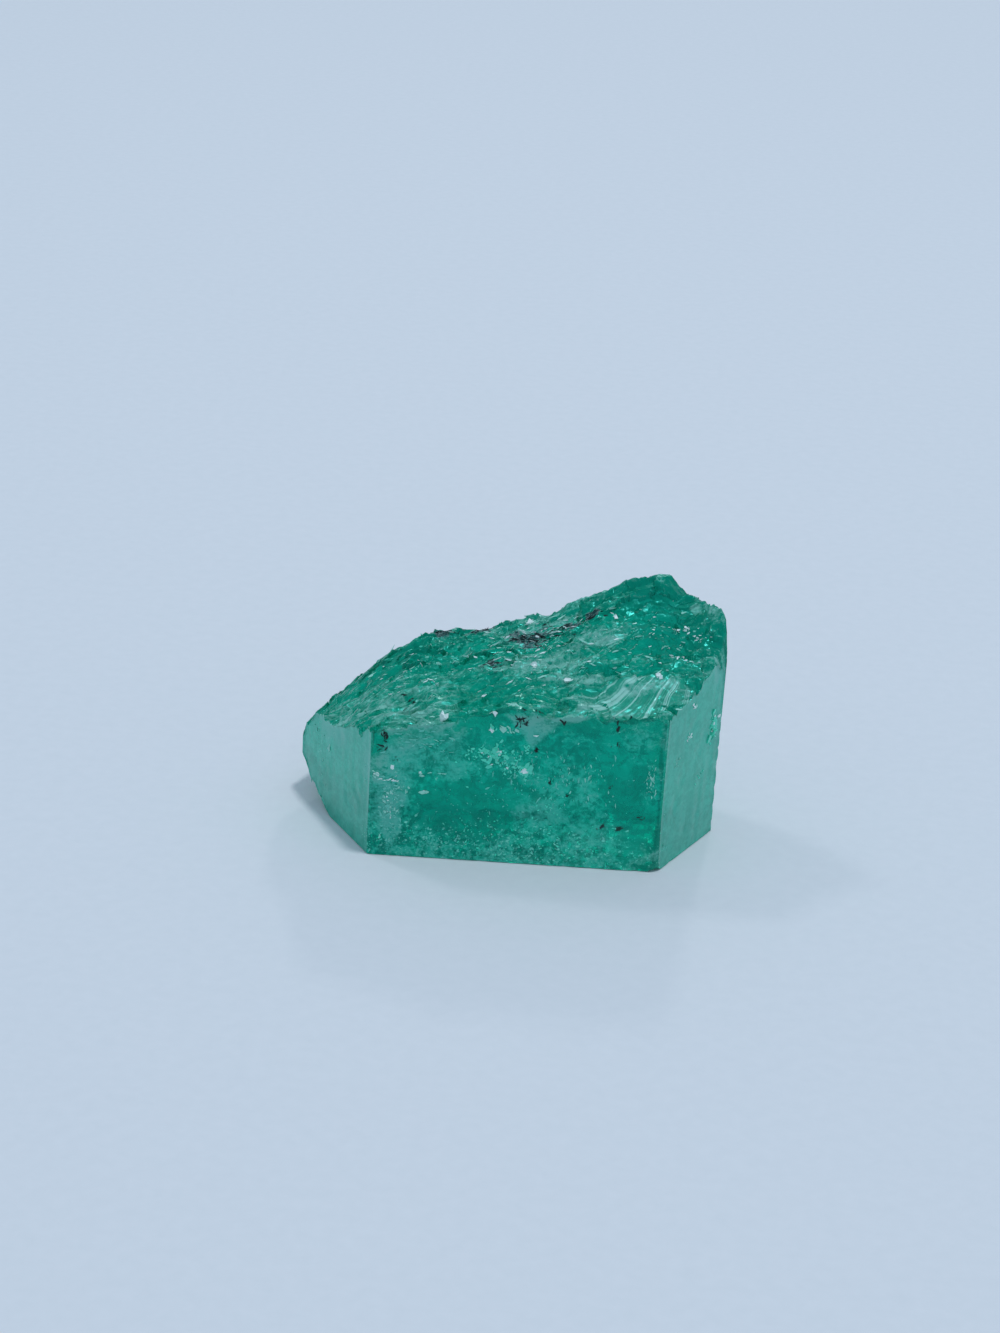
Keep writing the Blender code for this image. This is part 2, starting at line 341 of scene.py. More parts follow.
def slice_faces(faces, direction, start, end):
    """Slices faces of the skin evenly from start to end, always what is left beyond the last slice."""
    count = round((end - start) / GRID_GAP)
    for number in range(1, count):
        at = start + (end - start) * number / count
        edges = {edge for face in faces for edge in face.edges}
        points = {vert for face in faces for vert in face.verts}
        geometry = [*faces, *edges, *points]
        parts = bmesh.ops.bisect_plane(
            skin, geom=geometry, dist=CUT_GAP, plane_co=direction * at, plane_no=direction
        )["geom"]
        parts = [part for part in parts if isinstance(part, bmesh.types.BMFace)]
        faces = [face for face in parts if max(vert.co.dot(direction) for vert in face.verts) > at + CUT_GAP]


for wall, normal in wall_normals.items():
    along = Vector((-normal.y, normal.x, 0))
    faces = [face for face in skin.faces if face[wall_layer] == wall]
    places = [vert.co.dot(along) for face in faces for vert in face.verts]
    slice_faces(faces, along, min(places), max(places))
slice_faces([face for face in skin.faces if face[wall_layer]], Vector((0, 0, 1)), 0.0, high.z)
wall_faces = [face for face in skin.faces if face[wall_layer]]
print("Walls:", len(wall_normals), "faces on them after the cuts:", len(wall_faces))

# %% Sink the growth lines and nick the edges
LINES = [(0.24, 5.0, 0.010), (0.09, 2.5, 0.006)]
LINE_LOT = 20
DIMPLE_SIZE = 0.55
DIMPLE_DEPTH = 0.020
DIMPLE_LEVEL = 0.30
DIMPLE_CRISPNESS = 4
DIMPLE_LOT = 30
NICKS = 26
NICK_REACH = (0.08, 0.18)
NICK_DEPTH = 0.18

draw = random.Random(SEED)


def wall_depth(point, normal):
    """How deep, in mm, a point of a growth face sinks: upright lines, and here and there a dimple."""
    across, up = point.dot(Vector((-normal.y, normal.x, 0))) / MM, point.z / MM
    depth = 0.0
    for width, length, size in LINES:
        depth += size * (1 + noise.noise(Vector((across / width, up / length, LINE_LOT * normal.x))))
    dimple = noise.noise(Vector((across, up, DIMPLE_LOT * normal.y)) / DIMPLE_SIZE) - DIMPLE_LEVEL
    return depth + DIMPLE_DEPTH * soft_step(DIMPLE_CRISPNESS * dimple)


skin.verts.index_update()
moving, shifts, edge_points = [], [], []
for vert in sorted({vert for face in wall_faces for vert in face.verts}, key=lambda vert: vert.index):
    near = {face[wall_layer] for face in vert.link_faces}
    normals = [wall_normals[wall] for wall in near if wall]
    if any(not (face[wall_layer] or face.normal.z < UPRIGHT - 1) for face in vert.link_faces):
        continue
    shift = Vector()
    if len(near) == 1:
        shift = -normals[0] * wall_depth(vert.co, normals[0]) * MM
    else:
        edge_points.append((vert.co.copy(), sum(normals, Vector()).normalized()))
    moving.append(vert)
    shifts.append(shift)
spots, shifts = np.array([vert.co for vert in moving]), np.array(shifts)
for centre, normal in draw.sample(edge_points, NICKS):
    reach = draw.uniform(*NICK_REACH) * MM
    far = np.linalg.norm(spots - np.array(centre), axis=1) / reach
    shifts -= np.clip(1 - far * far, 0, 1)[:, None] * np.array(normal) * reach * NICK_DEPTH
for vert, shift in zip(moving, shifts):
    vert.co += Vector(shift)
skin.to_mesh(sides.data)
skin.free()
print("Points moved:", len(moving), "of them on edges:", len(edge_points))

# %% Join the crystal again
work_on(crystal)
sides.select_set(True)
bpy.ops.object.join()
bpy.ops.object.mode_set(mode="EDIT")
bpy.ops.mesh.select_mode(type="VERT")
bpy.ops.mesh.select_all(action="DESELECT")
bpy.ops.mesh.select_non_manifold()
bpy.ops.mesh.remove_doubles(threshold=CUT_GAP)
bpy.ops.mesh.select_all(action="SELECT")
bpy.ops.mesh.dissolve_degenerate(threshold=MERGE_GAP)
bpy.ops.mesh.select_all(action="DESELECT")
bpy.ops.mesh.select_non_manifold()
bpy.ops.object.mode_set(mode="OBJECT")
open_points = sum(vert.select for vert in crystal.data.vertices)
print("Points left on an open seam:", open_points)

# %% Shade it
SMOOTH_BELOW = math.radians(24)

work_on(crystal)
bpy.ops.object.shade_smooth_by_angle(angle=SMOOTH_BELOW)
print("Faces of the crystal:", len(crystal.data.polygons))

# %% [markdown]
# ## Zones of the stone
# An emerald is never even. Some parts of this one are cloudy, some are deep and clear, some are full of
# bright flakes, and dark bits of the rock that it grew in are caught in it. Each kind of zone is a list of
# egg-shaped places. A zone fades from its middle to its rim, and the smaller its last number is, the crisper
# that rim. The zones are mixed into one colour attribute, which the finish reads. That is lighter than a
# texture node for each place.

# %% List the zones: middle, reach, strength and softness, in mm
CLOUDY = [
    ((-4.2, -3.2, 3.0), (1.5, 1.4, 2.6), 0.6, 1.0),
    ((-3.6, -3.2, 3.9), (1.0, 1.1, 1.1), 0.45, 0.8),
    ((-2.4, -3.2, 4.3), (1.7, 1.1, 1.0), 0.5, 0.9),
    ((-3.0, -3.2, 4.7), (1.5, 1.1, 0.7), 0.45, 0.7),
    ((-2.2, -3.2, 3.4), (1.3, 0.9, 0.7), 0.4, 0.6),
    ((-3.8, -3.2, 1.7), (0.7, 1.0, 2.0), 0.62, 0.6),
    ((-1.0, -3.2, 3.7), (1.0, 0.9, 0.9), 0.25, 1.0),
    ((2.5, -3.2, 3.2), (1.7, 0.9, 1.3), 0.36, 1.0),
    ((1.3, -3.2, 2.1), (0.9, 0.9, 0.9), 0.42, 0.6),
    ((2.9, -3.2, 1.2), (2.2, 0.9, 1.1), 0.34, 0.9),
    ((4.9, -3.2, 3.2), (0.45, 0.9, 1.6), 0.34, 0.8),
    ((4.0, -3.2, 5.1), (1.5, 0.9, 0.7), 0.42, 0.7),
    ((0.3, -3.2, -0.1), (7.5, 0.9, 1.3), 0.5, 1.0),
    ((2.4, -2.7, 5.65), (2.6, 0.8, 0.45), 0.7, 0.7),
    ((1.6, -1.1, 6.1), (2.8, 1.2, 0.9), 0.55, 0.9),
    ((-3.6, -2.2, 4.9), (1.4, 1.1, 0.9), 0.6, 0.8),
    ((-2.2, -1.5, 5.4), (1.6, 0.7, 0.8), 0.35, 0.9),
    ((-5.7, -0.5, 3.8), (2.0, 1.7, 1.4), 0.8, 1.0),
    ((0.6, 1.2, 6.7), (2.8, 1.5, 1.0), 0.7, 1.0),
    ((0.2, -0.4, 6.1), (2.4, 0.9, 0.8), 0.6, 1.0),
    ((3.0, 0.4, 7.1), (1.8, 1.1, 0.9), 0.6, 1.0),
    ((6.0, 1.5, 7.95), (0.45, 0.45, 0.35), 0.9, 0.5),
    ((7.0, -0.2, 6.6), (0.4, 0.5, 1.0), 0.7, 0.6),
    ((-3.4, -3.2, 4.2), (1.2, 0.9, 0.7), 0.45, 0.8),
    ((2.0, 3.2, 3.0), (2.6, 1.2, 1.9), 0.5, 1.0),
    ((-3.2, 3.2, 2.2), (1.6, 1.2, 1.2), 0.5, 1.0),
    ((4.6, 3.2, 1.2), (1.6, 1.2, 1.2), 0.4, 1.0),
]
DEEP = [
    ((-1.2, -3.2, 1.7), (2.0, 1.0, 1.5), 0.8, 0.35),
    ((0.4, -3.2, 2.9), (1.6, 1.0, 1.6), 0.5, 1.0),
    ((-0.7, -3.2, 4.4), (1.1, 1.0, 1.0), 0.6, 0.6),
    ((3.2, -3.2, 4.2), (1.5, 1.0, 1.2), 0.5, 0.8),
    ((4.1, -3.2, 2.3), (1.3, 1.0, 2.8), 1.0, 0.8),
    ((5.2, 0.6, 7.4), (2.2, 2.6, 1.5), 0.9, 0.8),
    ((4.6, 2.0, 8.0), (1.8, 1.6, 1.0), 0.6, 0.8),
    ((-3.0, 0.8, 5.2), (1.9, 1.2, 1.0), 0.6, 0.8),
    ((-0.4, -1.2, 5.7), (1.3, 0.7, 0.6), 0.6, 0.8),
    ((3.5, -1.15, 6.25), (2.3, 0.3, 0.5), 1.0, 0.5),
    ((-0.6, 3.2, 3.0), (1.6, 1.2, 1.6), 0.8, 0.8),
    ((4.4, 3.2, 4.2), (1.8, 1.2, 2.0), 0.7, 0.8),
]
FLAKY = [
    ((-0.2, -3.2, 3.9), (1.4, 0.9, 1.2), 0.8, 1.0),
    ((-3.9, -3.2, 2.6), (0.9, 0.9, 2.4), 0.7, 1.0),
    ((0.3, -3.2, 0.4), (7.5, 0.9, 1.5), 0.9, 0.6),
    ((6.5, -0.9, 4.0), (0.8, 1.0, 1.2), 0.4, 1.0),
    ((-6.3, -0.1, 2.4), (1.3, 1.8, 1.8), 0.4, 1.0),
    ((0.8, 0.6, 6.7), (3.2, 2.4, 1.4), 0.8, 1.0),
    ((-3.0, 0.6, 5.2), (2.2, 2.4, 1.4), 0.5, 1.0),
    ((5.6, 0.2, 7.2), (1.8, 1.6, 1.2), 0.5, 1.0),
    ((1.5, 3.2, 3.4), (1.8, 0.9, 1.4), 0.6, 1.0),
    ((-2.0, 3.2, 2.0), (1.2, 0.9, 1.2), 0.6, 1.0),
]
SPECKLED = [
    ((-3.5, -1.6, 5.15), (0.55, 0.45, 0.35), 0.9, 0.8),
    ((-2.6, 2.05, 6.05), (0.6, 0.5, 0.35), 0.8, 0.8),
    ((-1.6, 2.05, 6.2), (0.6, 0.5, 0.35), 0.85, 0.8),
    ((-0.85, 2.00, 6.4), (0.6, 0.5, 0.35), 0.9, 0.8),
    ((0.25, 0.85, 6.55), (0.95, 0.5, 0.45), 1.00, 0.8),
    ((1.00, 1.00, 6.8), (0.8, 0.5, 0.45), 0.95, 0.8),
    ((1.9, 0.95, 7.05), (0.9, 0.5, 0.45), 0.85, 0.8),
    ((0.5, 0.35, 6.45), (0.8, 0.35, 0.35), 0.8, 0.8),
    ((-0.7, -0.35, 5.95), (0.8, 0.4, 0.35), 1.00, 0.8),
    ((2.6, 1.3, 7.4), (0.7, 0.45, 0.4), 0.75, 0.8),
    ((3.35, -3.2, 1.3), (0.6, 0.5, 0.45), 0.45, 0.8),
]
print("Zones:", len(CLOUDY) + len(DEEP) + len(FLAKY) + len(SPECKLED))

# %% Say how strongly a place belongs to its zones
WEDGE_CORNERS = [(-0.35, 5.60), (0.85, 4.15), (1.95, 5.60)]
WEDGE_RIM = 0.15
WEDGE_STRENGTH = 1.0
WEDGE_BEHIND = -2.3


def zone_strength(points, zones):
    """How strongly the zones, overlapping, mark each point: nothing outside their reach."""
    left = np.ones(len(points))
    for middle, reach, strength, softness in zones:
        far = np.linalg.norm((points - np.array(middle)) / np.array(reach), axis=1)
        share = np.clip((1 - far) / softness, 0, 1)
        left *= 1 - strength * share * share * (3 - 2 * share)
    return 1 - left


def wedge_strength(points):
    """A healed crack under the middle of the front edge shows as a grey wedge that points down."""
    inner = np.full(len(points), 1.0)
    for number, (x, z) in enumerate(WEDGE_CORNERS):
        next_x, next_z = WEDGE_CORNERS[(number + 1) % len(WEDGE_CORNERS)]
        side = Vector((next_x - x, next_z - z)).normalized()
        inner = np.minimum(inner, ((points[:, 2] - z) * side.x - (points[:, 0] - x) * side.y) / WEDGE_RIM)
    return WEDGE_STRENGTH * np.clip(inner, 0, 1) * (points[:, 1] < WEDGE_BEHIND)


# %% Mix the zones into a colour attribute
WARPS = [(1.4, 0.55), (0.5, 0.25), (0.2, 0.10)]
KINDS = [(CLOUDY, 1.0), (DEEP, 0.4), (FLAKY, 0.8), (SPECKLED, 0.2)]
WEDGE_WARP = 0.2

points = np.empty(3 * len(crystal.data.vertices))
crystal.data.vertices.foreach_get("co", points)
points = points.reshape(-1, 3) / MM
warp = np.array([
    sum((noise.noise_vector(Vector(point) / size) * amount for size, amount in WARPS), Vector())
    for point in points
])
zones = np.stack([zone_strength(points + warp * share, kind) for kind, share in KINDS], axis=1)
zones[:, 0] = np.maximum(zones[:, 0], wedge_strength(points + WEDGE_WARP * warp))
layer = crystal.data.color_attributes.new(name="zones", type="FLOAT_COLOR", domain="POINT")
layer.data.foreach_set("color", zones.ravel())
print("Mean strength of each kind of zone:", zones.mean(axis=0).round(3))

# %% [markdown]
# ## Rims and crests
# Near the break the growth faces are cracked. On the break the crests are painted paler, a painted highlight,
# and the hollows deeper green, a painted shade for the shade that falls into them. Ambient occlusion could
# find the hollows, but it looks at the whole scene and is slow to bake. So two plain numbers are measured on
# the mesh and kept as attributes: how near the rim a point of a growth face is, and how proud a point of the
# break stands above its neighbours.

# %% Measure how near the growth faces are to the break
RIM_BLEND = 1.2

walls, breaks = set(), set()
for face in crystal.data.polygons:
    (breaks if is_break(face) else walls).update(face.vertices)
rim_points = sorted(walls & breaks)
tree_of_rim = kdtree.KDTree(len(rim_points))
for index in rim_points:
    tree_of_rim.insert(points[index], index)
tree_of_rim.balance()
rim = np.ones(len(points))
for index in walls - breaks:
    rim[index] = max(0.0, 1 - tree_of_rim.find(points[index])[2] / RIM_BLEND)
layer = crystal.data.attributes.new(name="rim", type="FLOAT", domain="POINT")
layer.data.foreach_set("value", rim)
print("Rim points:", len(rim_points))

# %% Measure where the skin stands proud
PROUD_STEPS = 3
PROUD_SCALE = 0.012

ends = np.empty(2 * len(crystal.data.edges), dtype=int)
crystal.data.edges.foreach_get("vertices", ends)
ends = ends.reshape(-1, 2)
links = np.bincount(ends.ravel(), minlength=len(points))
level = points[:, 2].copy()
for step in range(PROUD_STEPS):
    near = np.bincount(ends[:, 0], level[ends[:, 1]], len(points))
    near += np.bincount(ends[:, 1], level[ends[:, 0]], len(points))
    level = 0.5 * level + 0.5 * near / links
proud = np.clip(0.5 + (points[:, 2] - level) / PROUD_SCALE / 2, 0, 1)
layer = crystal.data.attributes.new(name="proud", type="FLOAT", domain="POINT")
layer.data.foreach_set("value", proud)
print("Share of proud and sunk points:", (proud > 0.8).mean().round(3), (proud < 0.2).mean().round(3))

# %% [markdown]
# ## Helpers for finishes
# A finish is a small graph of nodes. These helpers add a node and wire its inputs in one call, so that each
# finish below reads as a list of what it does.

# %% Node helpers


def new_finish(name):
    """A new material, with its node tree and its Principled shader."""
    material = bpy.data.materials.new(name)
    material.use_nodes = True
    return material, material.node_tree, material.node_tree.nodes["Principled BSDF"]


def add(tree, kind, inputs=None, **settings):
    """Adds a node, sets its settings, and wires or sets its inputs."""
    made = tree.nodes.new("ShaderNode" + kind)
    for name, value in settings.items():
        setattr(made, name, value)
    for name, value in (inputs or {}).items():
        if isinstance(value, bpy.types.NodeSocket):
            tree.links.new(value, made.inputs[name])
        else:
            made.inputs[name].default_value = value
    return made


def sums(tree, operation, a, b=0.0, clamp=False):
    """One step of arithmetic."""
    return add(tree, "Math", {0: a, 1: b}, operation=operation, use_clamp=clamp).outputs[0]


def times(tree, *values):
    """The product of all values."""
    total = values[0]
    for value in values[1:]:
        total = sums(tree, "MULTIPLY", total, value)
    return total


def total_of(tree, *values):
    """The sum of all values."""
    total = values[0]
    for value in values[1:]:
        total = sums(tree, "ADD", total, value)
    return total


def without(tree, share):
    """1 where share is 0, and 0 where it is 1."""
    return sums(tree, "SUBTRACT", 1.0, share, clamp=True)


def blend(tree, share, a, b):
    """Colour a where share is 0 and colour b where it is 1."""
    return add(tree, "Mix", {"Factor": share, "A": a, "B": b}, data_type="RGBA").outputs["Result"]


def spread(tree, value, low_end, high_end, to_low=0.0, to_high=1.0):
    """Maps a range of values smoothly on to another."""
    wiring = {"Value": value, "From Min": low_end, "From Max": high_end, "To Min": to_low, "To Max": to_high}
    return add(tree, "MapRange", wiring, interpolation_type="SMOOTHSTEP").outputs["Result"]


def place_of(tree):
    """Coordinates that stay with the object."""
    return add(tree, "TexCoord").outputs["Object"]


def stretched(tree, vector, size, turn=(0, 0, 0), middle=(0, 0, 0)):
    """Turned coordinates in which one unit is size, in mm, along each axis."""
    made = add(tree, "Mapping", {"Vector": vector, "Rotation": turn}, vector_type="TEXTURE")
    made.inputs["Location"].default_value = [side * MM for side in middle]
    made.inputs["Scale"].default_value = [side * MM for side in size]
    return made.outputs[0]


def grain(tree, vector, detail=3.0, roughness=0.55, distortion=0.0):
    """A noise that swings about 0.5."""
    wiring = {"Vector": vector, "Scale": 1.0, "Detail": detail, "Roughness": roughness}
    return add(tree, "TexNoise", {**wiring, "Distortion": distortion}).outputs["Fac"]


def veins(tree, vector, width):
    """Thin wandering lines, where a noise crosses its middle value."""
    noise_there = grain(tree, vector, detail=2.0, roughness=0.5, distortion=0.8)
    return spread(tree, sums(tree, "ABSOLUTE", sums(tree, "SUBTRACT", noise_there, 0.5)), width, 0.0)


def dots(tree, vector, density, radius):
    """One dot of its own size in each cell of a scatter, but only in as many cells as density says."""
    cells = add(tree, "TexVoronoi", {"Vector": vector, "Scale": 1.0})
    lot = add(tree, "SeparateColor", {0: cells.outputs["Color"]}).outputs
    size = sums(tree, "MULTIPLY", spread(tree, lot["Green"], 0.0, 1.0, 0.4, 1.0), radius)
    shape = sums(tree, "DIVIDE", cells.outputs["Distance"], size)
    drawn = spread(tree, sums(tree, "SUBTRACT", density, lot["Red"]), 0.0, 0.05)
    return times(tree, spread(tree, shape, 1.0, 0.55), drawn)


# %% [markdown]
# ## The emerald itself
# Emerald is clear green glass with a refractive index of 1.577, full of flaws. The colour comes from the
# depth of stone that light crosses, so there is an absorption inside the shape. Cloudy veils and dark remains
# of rock lie on and just under the skin: there the stone lets less light through and shows a colour of its
# own. The growth faces that turn to the left and right are painted paler and livelier, a painted reflection
# of the bright surroundings that they catch at a glancing angle. On the break the crests are painted paler,
# a painted highlight, and the hollows deeper green, a painted shade. An image wrapped round the stone would
# stretch on the slopes, so all of it is mixed from a few noises in the object's own coordinates, and those
# come first.

# %% Gather what the finish knows of each place
BREAK_SLOPE = math.radians(-19)
STRAIGHT = (0, 0, 0)
TILTED = (0, BREAK_SLOPE, HACKLE_HEADING)
# The size in mm, the turn, the detail, the roughness and the distortion of each noise.
NOISES = {
    "broad": ((2.6, 2.6, 2.0), STRAIGHT, 3.0, 0.50, 0.8),
    "mottle": ((0.80, 0.80, 0.70), STRAIGHT, 8.0, 0.70, 0.9),
    "fine": ((0.24, 0.24, 0.22), STRAIGHT, 6.0, 0.72, 0.4),
    "tiny": ((0.08, 0.08, 0.08), STRAIGHT, 3.0, 0.60, 0.0),
    "bands": ((3.2, 1.0, 1.0), TILTED, 4.0, 0.60, 0.8),
    "streaks": ((1.2, 0.36, 0.36), TILTED, 6.0, 0.66, 0.7),
    "upright": ((0.22, 0.22, 4.0), STRAIGHT, 4.0, 0.60, 0.0),
}
FAN_LEVEL, FAN_THICKNESS = 5.9, 1.4
WIDE_RAYS, NARROW_RAYS = 7.0, 34.0
CURL_STRENGTH = 0.85


def swing(tree, at, **amounts):
    """The swings of some noises about their middle, each as strong as its amount says, added up."""
    parts = [times(tree, sums(tree, "SUBTRACT", at[name], 0.5), amount) for name, amount in amounts.items()]
    return total_of(tree, *parts)


def fan_lines(tree, place):
    """1 on the pale ribs of the fan, 0 between them, and how far a place belongs to the fan."""
    spots = add(tree, "SeparateXYZ", {0: stretched(tree, place, (1, 1, 1), middle=(*FAN_SOURCE, 0))}).outputs
    wander = times(tree, grain(tree, stretched(tree, place, (1.6, 1.6, 1.6)), 2.0), 0.12)
    turns = total_of(tree, sums(tree, "ARCTAN2", spots["Y"], spots["X"]), wander)
    wide = add(tree, "CombineXYZ", {"X": times(tree, turns, WIDE_RAYS)}).outputs[0]
    narrow = add(tree, "CombineXYZ", {"X": times(tree, turns, NARROW_RAYS), "Y": 3.0}).outputs[0]
    lines = times(tree, total_of(tree, grain(tree, wide, 1.0), grain(tree, narrow, 2.0)), 0.9)
    reach, middle = (*FAN_REACH, FAN_THICKNESS), (*FAN_MIDDLE, FAN_LEVEL)
    across = stretched(tree, place, reach, (0, 0, FAN_TURN), middle)
    far = add(tree, "VectorMath", {0: across}, operation="LENGTH").outputs["Value"]
    return spread(tree, lines, 0.86, 1.08), spread(tree, far, 1.0, 0.72)


def read_skin(tree):
    """The sockets that the finish is mixed from, by name: noises, zones and the way a place faces."""
    at = {"place": place_of(tree)}
    for name, (size, turn, *settings) in NOISES.items():
        at[name] = grain(tree, stretched(tree, at["place"], size, turn), *settings)
    layer = add(tree, "VertexColor", layer_name="zones")
    parts = add(tree, "SeparateColor", {0: layer.outputs["Color"]}).outputs
    at["cloudy"], at["deep"], at["flaky"] = parts["Red"], parts["Green"], parts["Blue"]
    at["speckled"] = layer.outputs["Alpha"]
    for name in ("proud", "rim"):
        at[name] = add(tree, "Attribute", attribute_name=name).outputs["Fac"]

    facing = add(tree, "SeparateXYZ", {0: add(tree, "TexCoord").outputs["Normal"]}).outputs
    at["break"] = spread(tree, facing["Z"], 0.12, 0.35)
    aside = spread(tree, sums(tree, "ABSOLUTE", facing["X"]), 0.6, 0.8)
    at["side"] = times(tree, aside, without(tree, at["break"]))
    at["not_side"] = without(tree, at["side"])
    at["ribs"], fan = fan_lines(tree, at["place"])
    at["fan"] = times(tree, fan, spread(tree, facing["Z"], 0.3, 0.6))
    curl = spread(tree, total_of(tree, at["rim"], swing(tree, at, mottle=1.2)), 0.35, 0.85)
    at["crown"] = sums(tree, "MAXIMUM", at["break"], times(tree, curl, at["not_side"], CURL_STRENGTH))
    return at


# %% Mix the veils
VEIL_LEVEL = -0.03
# The faces turned sideways are painted paler and calmer: a painted reflection of the bright surroundings.
SIDE_SHEEN_LEVEL = 0.58
SIDE_SHEEN_CALM = 0.40
WISP_SIZE, WISP_WIDTH, WISP_STRENGTH = (0.75, 0.75, 0.55), 0.012, 0.6
WRINKLE_SIZE, WRINKLE_WIDTH, WRINKLE_STRENGTH = (0.46, 0.46, 0.34), 0.030, 0.45
WRINKLE_TURN = math.radians(-35)


def veil_of(tree, at):
    """How cloudy each place is: 0 where the stone is clear and 1 where it is milky,
    with a painted reflection on the faces turned sideways and a painted highlight on the crests.
    """
    uneven = swing(tree, at, broad=0.9, mottle=1.9, fine=2.1, tiny=0.9)
    uneven = total_of(tree, uneven, times(tree, at["flaky"], swing(tree, at, fine=1.2, tiny=1.2)))
    uneven = times(tree, uneven, spread(tree, at["side"], 0.0, 1.0, 1.0, SIDE_SHEEN_CALM))
    # Painted reflection: the faces turned sideways are painted paler, for the light they reflect at a
    # glancing angle.
    painted_side_sheen = times(tree, at["side"], total_of(tree, SIDE_SHEEN_LEVEL, swing(tree, at, upright=0.35)))
    wisps = veins(tree, stretched(tree, at["place"], WISP_SIZE), WISP_WIDTH)
    wisps = times(tree, wisps, spread(tree, at["mottle"], 0.42, 0.60), at["not_side"], WISP_STRENGTH)
    turned = stretched(tree, at["place"], WRINKLE_SIZE, (0, WRINKLE_TURN, 0))
    wrinkles = times(tree, veins(tree, turned, WRINKLE_WIDTH), at["flaky"], at["not_side"], WRINKLE_STRENGTH)
    # Painted highlight: the crests of the break are painted paler.
    painted_crest_highlight = spread(tree, total_of(tree, at["proud"], swing(tree, at, fine=0.7)), 0.55, 1.0)
    on_top = total_of(tree, swing(tree, at, bands=3.4, streaks=2.8), times(tree, painted_crest_highlight, 0.36), -0.08)
    veil = total_of(tree, VEIL_LEVEL, at["cloudy"], uneven, painted_side_sheen, wisps, wrinkles)
    veil = total_of(tree, veil, times(tree, at["crown"], on_top))
    clear = times(tree, at["deep"], spread(tree, at["break"], 0.0, 1.0, 0.45, 0.8))
    return sums(tree, "SUBTRACT", veil, clear, clamp=True)


# %% Mix the greens, the flakes and the rock
CLEAR_GREEN = (0.001, 0.80, 0.53, 1)
DEEP_GREEN = (0.001, 0.37, 0.245, 1)
BREAK_GREEN = (0.001, 0.45, 0.27, 1)
CROWN_STRENGTH = 0.8
# How strongly the hollows of the break are painted deep green, as painted shade.
PAINTED_HOLLOW_SHADE_STRENGTH = 0.75
# How much livelier the faces turned sideways are painted, as part of their painted reflection.
SIDE_SHEEN_LIVELY = 0.58
PAINTED_FLAKES_AND_SPARKLE = [((0.22, 0.12, 0.13), 0.40, 0.6), ((0.12, 0.08, 0.08), 0.50, 0.5)]
FLAKE_RADIUS = 0.5


def green_of(tree, at):
    """The clear stone's green: lively and deep in patches, deeper on the break, painted deep green in the
    hollows of the break as painted shade, and livelier on the faces turned sideways as painted reflection.
    """
    lively = spread(tree, total_of(tree, at["mottle"], swing(tree, at, fine=0.8)), 0.38, 0.60)
    # Painted reflection: the faces turned sideways also take the livelier green.
    lively = sums(tree, "MAXIMUM", lively, times(tree, at["side"], SIDE_SHEEN_LIVELY))
    green = blend(tree, lively, DEEP_GREEN, CLEAR_GREEN)
    green = blend(tree, times(tree, at["crown"], CROWN_STRENGTH), green, BREAK_GREEN)
    # Painted shade: the hollows of the break are painted deep green.
    painted_hollow_shade = times(tree, at["break"], spread(tree, at["proud"], 0.35, 0.0), PAINTED_HOLLOW_SHADE_STRENGTH)
    dim = times(tree, at["deep"], spread(tree, at["fine"], 0.25, 0.7))
    return blend(tree, sums(tree, "MAXIMUM", dim, painted_hollow_shade), green, DEEP_GREEN)


def flakes_and_sparkle_of(tree, at):
    """Small pale flakes under the skin, in two sizes, that lie along the hackle: pale flecks, and in part
    painted sparkle.
    """
    kinds = []
    for size, density, strength in PAINTED_FLAKES_AND_SPARKLE:
        lying = stretched(tree, at["place"], size, TILTED)
        kind = dots(tree, lying, times(tree, at["flaky"], density), FLAKE_RADIUS)
        kinds.append(times(tree, kind, strength))
    return times(tree, sums(tree, "MAXIMUM", *kinds), spread(tree, at["tiny"], 0.35, 0.60))


def rock_of(tree, at):
    """Crumbs of dark rock in the speckled zones, drawn out along the hackle on the break."""
    drawn_out = times(tree, at["break"], swing(tree, at, streaks=3.0))
    crumbs = total_of(tree, at["speckled"], swing(tree, at, fine=0.9, tiny=0.9), drawn_out)
    return times(tree, spread(tree, crumbs, 0.50, 0.70), spread(tree, at["speckled"], 0.10, 0.30))


# %% Make the emerald
CLOUD_GREEN = (0.14, 0.58, 0.45, 1)
CLOUD_GREY = (0.22, 0.55, 0.44, 1)
PALE_GREEN = (0.50, 0.88, 0.76, 1)
FLAKE_AND_SPARKLE_PALE = (0.40, 0.86, 0.72, 1)
ROCK_DARK = (0.010, 0.030, 0.030, 1)
ROCK_PALE = (0.16, 0.23, 0.21, 1)
REFRACTION = 1.577
REFLECTION_TINT = (0.10, 1.0, 0.90, 1)
ABSORBED = (0.20, 0.89, 0.82, 1)
ABSORPTION = 250.0
CLEAR_ON_WALLS, CLEAR_ON_BREAK = 0.62, 0.45
HIDDEN_BY_VEIL = 0.45
POLISH = 0.09
RELIEF_DEPTH = 0.03 * MM


